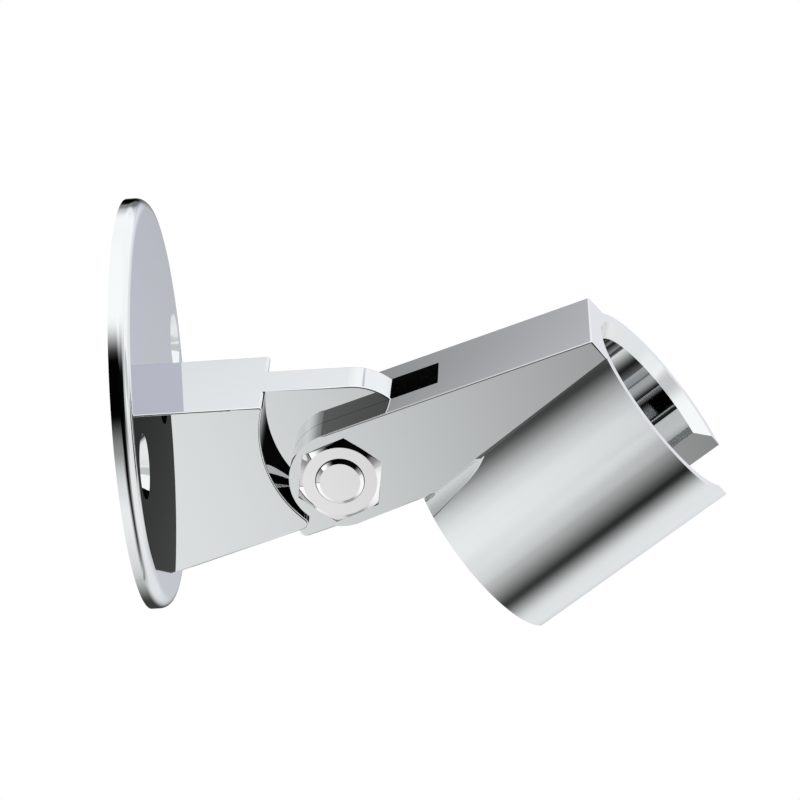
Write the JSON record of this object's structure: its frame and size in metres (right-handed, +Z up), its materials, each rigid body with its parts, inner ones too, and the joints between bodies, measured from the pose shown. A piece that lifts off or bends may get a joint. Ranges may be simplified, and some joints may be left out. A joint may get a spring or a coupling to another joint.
{
  "type": "hand shower holder",
  "caption": "Chrome wall-mounted hand shower holder with a round wall plate, a wedge-shaped bracket and a tilting forked arm that ends in a C-shaped cradle.",
  "frame": {"origin": "centre of the wall plate's back face, which lies on the wall", "axes": "+X points out of the wall, +Z up, and +Y along the hinge pin towards its head; the arm rests 17.1 degrees above level"},
  "size_m": [0.0947, 0.0674, 0.0739],
  "materials": {
    "wall_plate": "polished",
    "hinge_bracket": "polished",
    "cradle_arm": "polished",
    "pivot_nut": "polished",
    "pivot_bolt": "polished",
    "friction_washer": "matte",
    "bracket_screw": "zinc plated"
  },
  "bodies": {
    "wall_bracket": {"wall_plate": "wall_plate", "hinge_bracket": "hinge_bracket", "friction_washer_left": "friction_washer", "friction_washer_right": "friction_washer", "bracket_screw_upper": "bracket_screw", "bracket_screw_lower": "bracket_screw"},
    "arm": {"cradle_arm": "cradle_arm", "pivot_nut": "pivot_nut", "pivot_bolt": "pivot_bolt"}
  },
  "joints": [
    {"name": "arm_tilt", "type": "hinge", "parent": "wall_bracket", "child": "arm", "pos_m": [0.0323, 0, -0.0116], "axis": [0, -1, 0], "range_deg": [-70, 75]}
  ]
}
